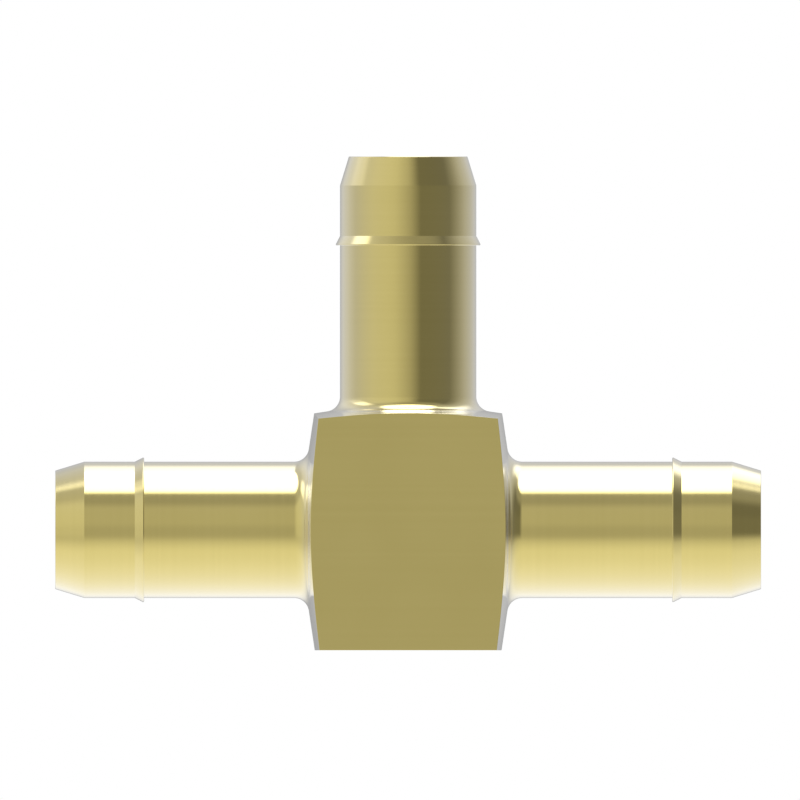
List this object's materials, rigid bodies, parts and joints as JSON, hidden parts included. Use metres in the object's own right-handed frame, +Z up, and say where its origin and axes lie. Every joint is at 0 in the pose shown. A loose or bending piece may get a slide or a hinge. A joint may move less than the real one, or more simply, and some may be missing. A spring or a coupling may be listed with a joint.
{
  "type": "hose barb tee adapter",
  "caption": "Brass tee with a flat-sided block and equal hose spigots on a straight run and a branch, each with a lead-in taper and one low barb.",
  "frame": {"origin": "where the axis of the run's bore crosses the axis of the branch's bore", "axes": "+X along the run, +Z up the branch, Y through the block from its front flat (-Y) to its back flat (+Y)"},
  "size_m": [0.0518, 0.0136, 0.0362],
  "materials": {
    "brass": "polished yellow brass, bright turned spigots and smooth milled flats"
  },
  "bodies": {
    "root": {"tee": "brass"}
  },
  "joints": []
}
